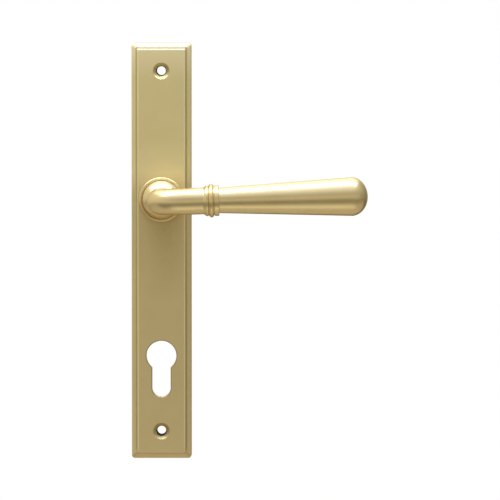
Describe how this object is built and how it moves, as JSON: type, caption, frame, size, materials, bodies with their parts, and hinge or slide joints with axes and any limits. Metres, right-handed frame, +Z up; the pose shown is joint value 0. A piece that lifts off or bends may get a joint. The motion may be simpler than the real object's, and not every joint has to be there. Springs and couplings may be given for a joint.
{
  "type": "multipoint door handle",
  "caption": "Slim stepped brass backplate with a round tapered lever, countersunk fixing holes, a profile-cylinder cut-out, a sprung cassette behind it and a square drive spindle.",
  "frame": {"origin": "on the spindle's axis, in the plane of the door's face, which is the back of the plate", "axes": "+Z up the plate, +Y along the spindle into the door, +X to the right as seen from in front, along the lever towards its tip"},
  "size_m": [0.1383, 0.1397, 0.245],
  "materials": {
    "satin_brass": "satin, finely brushed",
    "plated_steel": "bright zinc plate",
    "spring_steel": "oiled dark steel",
    "zinc_casting": "as cast, matt",
    "nylon": "matt"
  },
  "bodies": {
    "plate": {"backplate": "satin_brass", "rose_collar": "satin_brass", "front_bush": "nylon", "cassette_housing": "zinc_casting", "cassette_cover": "plated_steel", "rear_bush": "nylon", "cassette_screw_upper": "plated_steel", "cassette_screw_lower": "plated_steel", "return_spring": "spring_steel"},
    "lever": {"lever_neck": "satin_brass", "grip_collar": "satin_brass", "lever_grip": "satin_brass", "grip_stud": "plated_steel", "spring_driver": "zinc_casting", "wave_washer": "spring_steel", "thrust_washer": "plated_steel", "retaining_circlip": "spring_steel"},
    "spindle_bar": {"spindle": "plated_steel", "spindle_clip": "spring_steel"}
  },
  "joints": [
    {"name": "lever_turn", "type": "hinge", "parent": "plate", "child": "lever", "pos_m": [0, 0, 0], "axis": [0, 1, 0], "range_deg": [-45, 45], "stiffness_Nm_per_rad": 1.8, "springref_deg": -5.5, "deforming": ["return_spring"]},
    {"name": "spindle_slide", "type": "slide", "parent": "lever", "child": "spindle_bar", "axis": [0, 1, 0], "range_m": [0, 0.015]}
  ]
}
